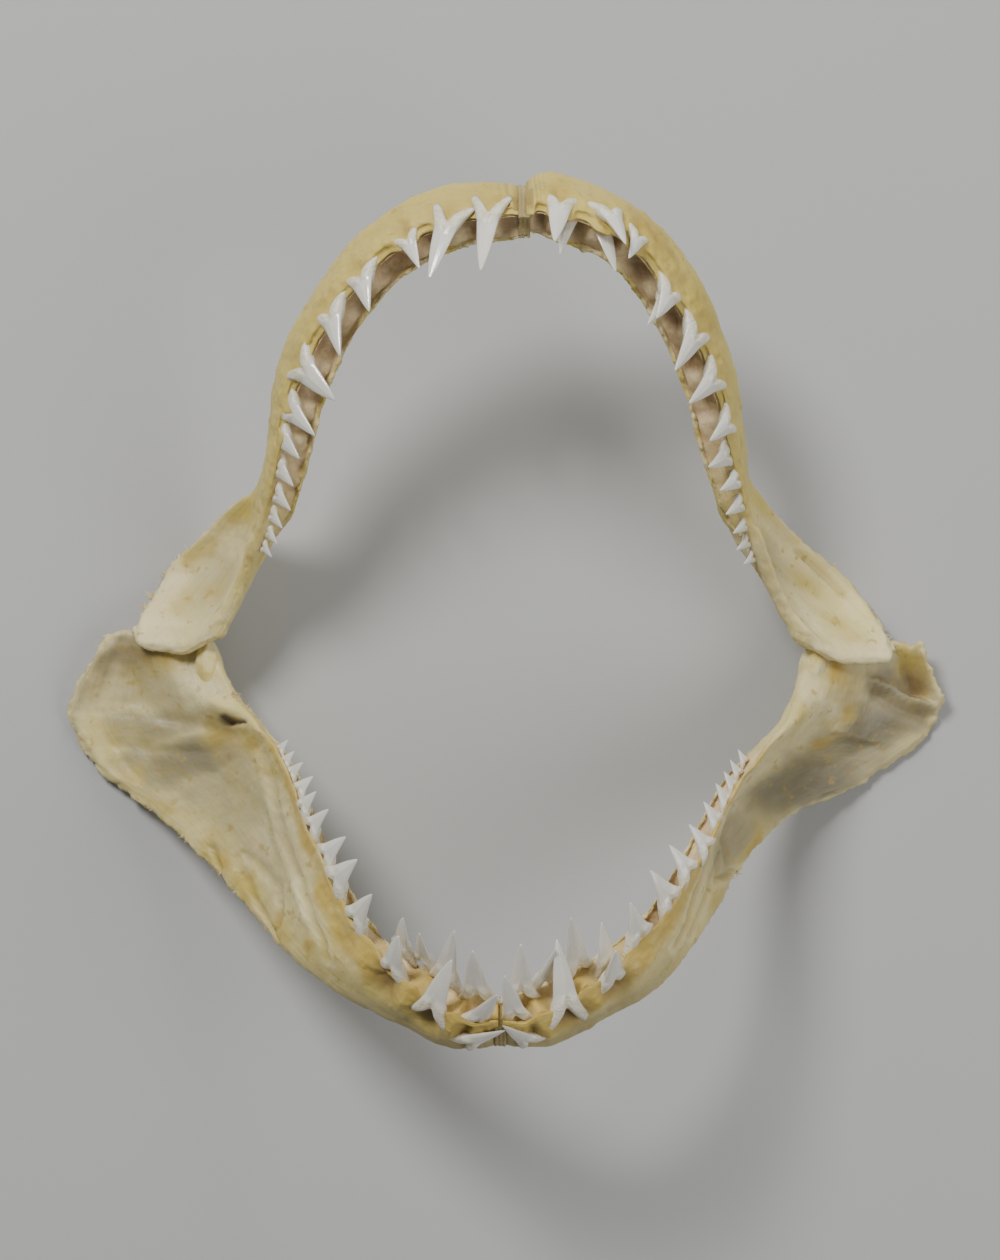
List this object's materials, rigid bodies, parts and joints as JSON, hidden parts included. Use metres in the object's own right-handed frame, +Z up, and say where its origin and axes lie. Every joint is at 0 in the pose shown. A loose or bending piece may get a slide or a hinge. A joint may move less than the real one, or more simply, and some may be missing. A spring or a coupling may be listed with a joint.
{
  "type": "mako shark jaw",
  "caption": "Dried mako shark jaw spread wide open and lying on its back, upper and lower tooth-bearing cartilages meeting at the corner joints.",
  "frame": {"origin": "middle of the outline seen from above, at the level of the flats that the jaw rests on", "axes": "+Z up out of the open mouth, +Y towards the front of the upper jaw, +X to the right as the mouth is faced with the upper jaw at the top"},
  "size_m": [0.2686, 0.2554, 0.1096],
  "materials": {
    "cartilage": "dried cartilage, smooth and slightly waxy, yellowed with ochre stains, with white teeth",
    "tooth": "tooth enamel, smooth and glossy white, with duller roots",
    "ligament": "dried fibrous tissue, brownish and rough"
  },
  "bodies": {
    "root": {"upper_jaw_left": "cartilage", "upper_jaw_right": "cartilage", "lower_jaw_left": "cartilage", "lower_jaw_right": "cartilage", "jaw_joint_left": "ligament", "jaw_joint_right": "ligament", "upper_symphysis": "ligament", "lower_symphysis": "ligament"}
  },
  "joints": []
}
